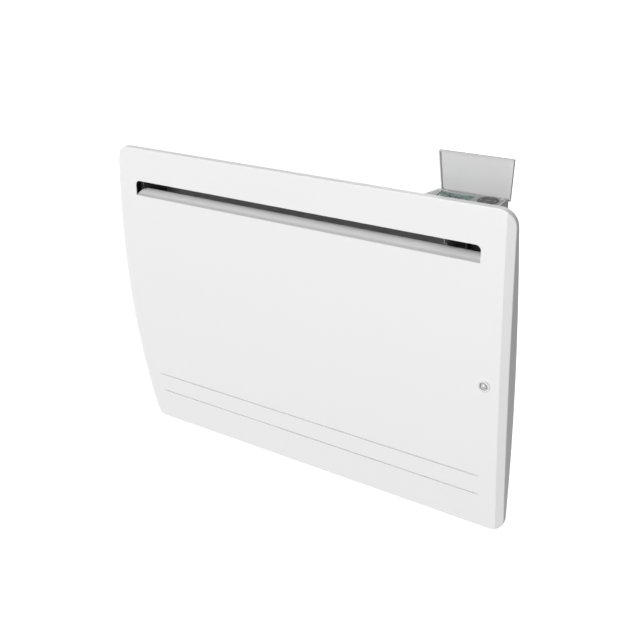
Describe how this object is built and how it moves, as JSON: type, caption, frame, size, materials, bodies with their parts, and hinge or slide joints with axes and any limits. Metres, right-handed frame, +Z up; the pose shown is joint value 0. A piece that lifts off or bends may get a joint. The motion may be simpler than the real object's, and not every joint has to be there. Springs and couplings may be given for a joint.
{
  "type": "wall panel convector heater",
  "caption": "Slim curved steel wall panel heater with a top air outlet slot, a hinged flap over a control pad and display, and a wall bracket with hooks and turn latches.",
  "frame": {"origin": "on the wall plane, at the centre of the wall bracket's four screw holes, level with the panel's mid-height", "axes": "+X to the right along the panel's width as seen from the room, +Y into the wall, +Z up"},
  "size_m": [0.6218, 0.1072, 0.491],
  "materials": {
    "cover_enamel": "satin white powder coat",
    "body_enamel": "satin light grey powder coat",
    "galvanised": "galvanised sheet",
    "dark_sheet": "matt black heat-resistant coat",
    "reflector_steel": "dull aluminised steel",
    "screw_steel": "zinc plated",
    "cast_alloy": "cast aluminium",
    "sheath_steel": "stainless sheath",
    "ceramic": "glazed ceramic",
    "grey_plastic": "moulded light grey",
    "fascia_grey": "moulded grey",
    "key_grey": "moulded dark grey",
    "lcd_glass": "display window",
    "lcd_cell": "display cell",
    "board_green": "circuit board",
    "component_black": "moulded black",
    "component_blue": "relay case",
    "ring_white": "moulded white ring",
    "lens_white": "milky lens",
    "nylon_black": "moulded nylon",
    "lead_silicone": "silicone insulation",
    "bracket_zinc": "zinc plated steel",
    "latch_plastic": "moulded white",
    "switch_black": "moulded black"
  },
  "bodies": {
    "body": {"front_cover": "cover_enamel", "rear_body": "body_enamel", "end_plate_left": "body_enamel", "end_plate_right": "body_enamel", "cover_screws": "screw_steel", "partition_plate": "dark_sheet", "rear_reflector": "reflector_steel", "front_shield": "galvanised", "reflector_spacers": "galvanised", "heating_element": "cast_alloy", "element_rod": "sheath_steel", "element_studs": "screw_steel", "element_bushes": "ceramic", "element_carrier": "galvanised", "thermal_limiter": "ceramic", "control_housing": "grey_plastic", "control_fascia": "fascia_grey", "display_window": "lcd_glass", "display_module": "lcd_cell", "control_board": "board_green", "key_switches": "component_black", "flap_hinge_pins": "screw_steel", "sensor_bezel": "ring_white", "sensor_lens": "lens_white", "sensor_holder": "grey_plastic", "sensor_board": "board_green", "power_board": "board_green", "power_relay": "component_blue", "board_standoffs": "nylon_black", "terminal_block": "nylon_black", "cable_gland": "nylon_black", "gland_nut": "nylon_black", "probe_cage": "grey_plastic", "temperature_probe": "component_black", "element_leads": "lead_silicone", "supply_leads": "lead_silicone", "control_leads": "lead_silicone", "switch_housing": "switch_black", "wall_bracket": "bracket_zinc", "wall_bumpers": "latch_plastic"},
    "flap": {"control_flap": "grey_plastic"},
    "up_key": {"key_up": "key_grey"},
    "down_key": {"key_down": "key_grey"},
    "left_key": {"key_left": "key_grey"},
    "right_key": {"key_right": "key_grey"},
    "centre_key": {"key_ok": "key_grey"},
    "rocker": {"switch_rocker": "switch_black"},
    "latch_left": {"bracket_latch_left": "latch_plastic"},
    "latch_right": {"bracket_latch_right": "latch_plastic"}
  },
  "joints": [
    {"name": "flap_hinge", "type": "hinge", "parent": "body", "child": "flap", "pos_m": [0.22585, -0.0269, 0.2126], "axis": [1, 0, 0], "range_deg": [0, 90]},
    {"name": "press_up", "type": "slide", "parent": "body", "child": "up_key", "axis": [0, 0, -1], "range_m": [0, 0.0005], "stiffness_N_per_m": 1000},
    {"name": "press_down", "type": "slide", "parent": "body", "child": "down_key", "axis": [0, 0, -1], "range_m": [0, 0.0005], "stiffness_N_per_m": 1000},
    {"name": "press_left", "type": "slide", "parent": "body", "child": "left_key", "axis": [0, 0, -1], "range_m": [0, 0.0005], "stiffness_N_per_m": 1000},
    {"name": "press_right", "type": "slide", "parent": "body", "child": "right_key", "axis": [0, 0, -1], "range_m": [0, 0.0005], "stiffness_N_per_m": 1000},
    {"name": "press_ok", "type": "slide", "parent": "body", "child": "centre_key", "axis": [0, 0, -1], "range_m": [0, 0.0005], "stiffness_N_per_m": 1000},
    {"name": "switch_rock", "type": "hinge", "parent": "body", "child": "rocker", "pos_m": [0.2698, -0.046, 0.1511], "axis": [0, -1, 0], "range_deg": [0, 16]},
    {"name": "latch_turn_left", "type": "hinge", "parent": "body", "child": "latch_left", "pos_m": [-0.12, -0.014, 0.1661], "axis": [0, -1, 0], "range_deg": [0, 90]},
    {"name": "latch_turn_right", "type": "hinge", "parent": "body", "child": "latch_right", "pos_m": [0.12, -0.014, 0.1661], "axis": [0, 1, 0], "range_deg": [0, 90]}
  ]
}
